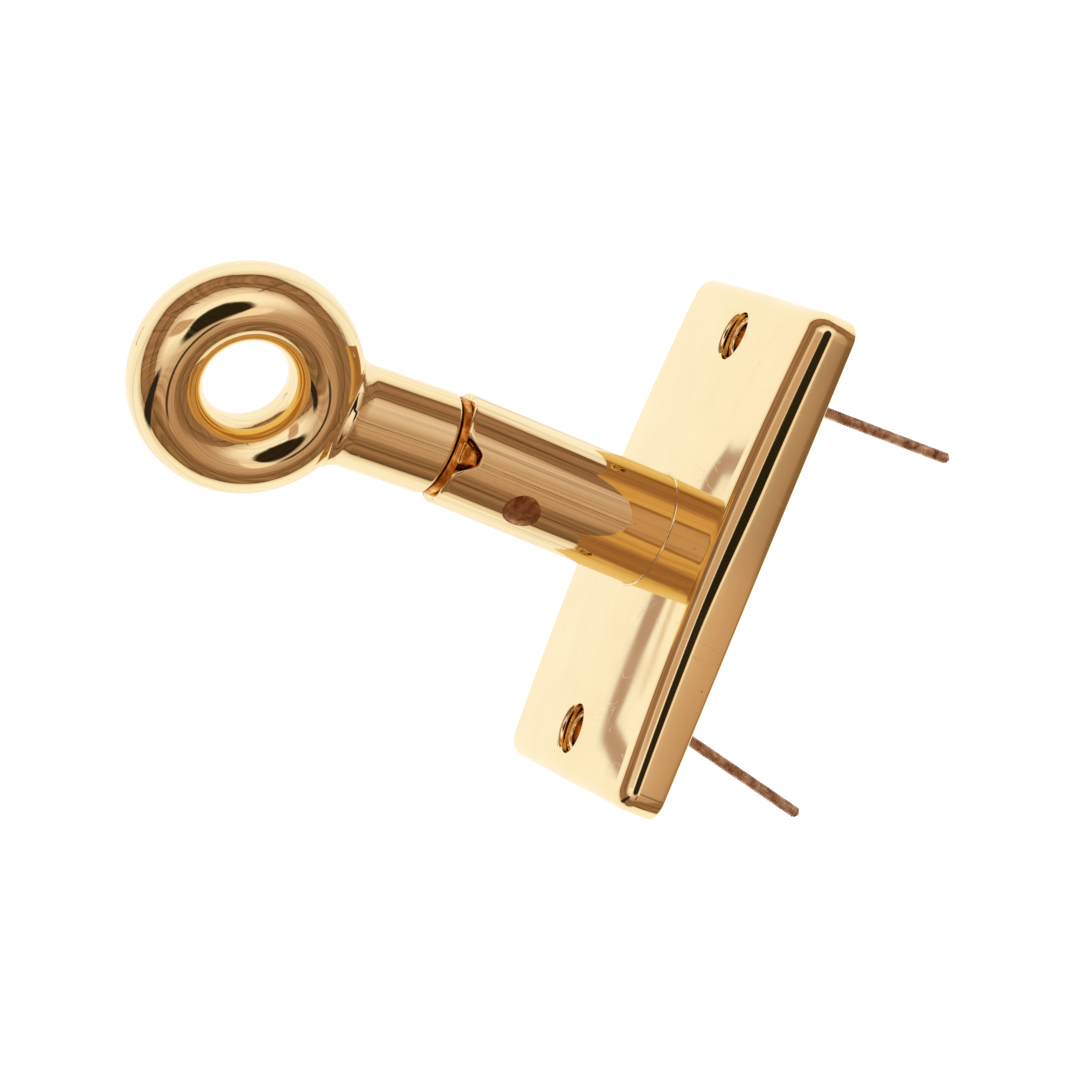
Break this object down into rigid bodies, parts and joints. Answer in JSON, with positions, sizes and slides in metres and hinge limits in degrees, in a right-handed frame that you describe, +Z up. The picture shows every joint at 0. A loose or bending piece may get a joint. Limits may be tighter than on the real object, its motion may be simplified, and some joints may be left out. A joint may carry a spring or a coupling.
{
  "type": "sash lift handle",
  "caption": "Ring-ended lift handle for a window sash: a ring on a stem that swivels in a barrel, on a crowned rectangular screw-on plate.",
  "frame": {"origin": "middle of the plate's flat back face, where it meets the sash rail", "axes": "+X along the plate's long side, +Y back into the sash rail, +Z up; the stem and ring stand out along -Y and the ring's hole is close to vertical, for a pole hook"},
  "size_m": [0.0644, 0.103, 0.043],
  "materials": {
    "polished_brass": "mirror polished, with fine scratches",
    "tarnished_bronze": "tarnished bronze",
    "coppered_steel": "copper-washed steel, dull",
    "bright_steel": "bright turned steel"
  },
  "bodies": {
    "mounting": {"face_plate": "polished_brass", "barrel": "polished_brass", "barrel_back_nut": "polished_brass", "barrel_lock_washer": "bright_steel", "back_plug": "polished_brass", "front_bush": "tarnished_bronze", "rear_bush": "tarnished_bronze", "thrust_washer": "tarnished_bronze", "friction_button": "tarnished_bronze", "friction_spring": "bright_steel", "retaining_pin": "coppered_steel", "hole_ferrule_left": "tarnished_bronze", "hole_ferrule_right": "tarnished_bronze", "fixing_stud_left": "coppered_steel", "fixing_stud_right": "coppered_steel"},
    "swivel_head": {"ring_head": "polished_brass", "swivel_spindle": "bright_steel"}
  },
  "joints": [
    {"name": "ring_swivel", "type": "hinge", "parent": "mounting", "child": "swivel_head", "pos_m": [0, -0.0352, 0], "axis": [0, -1, 0], "continuous": true}
  ]
}
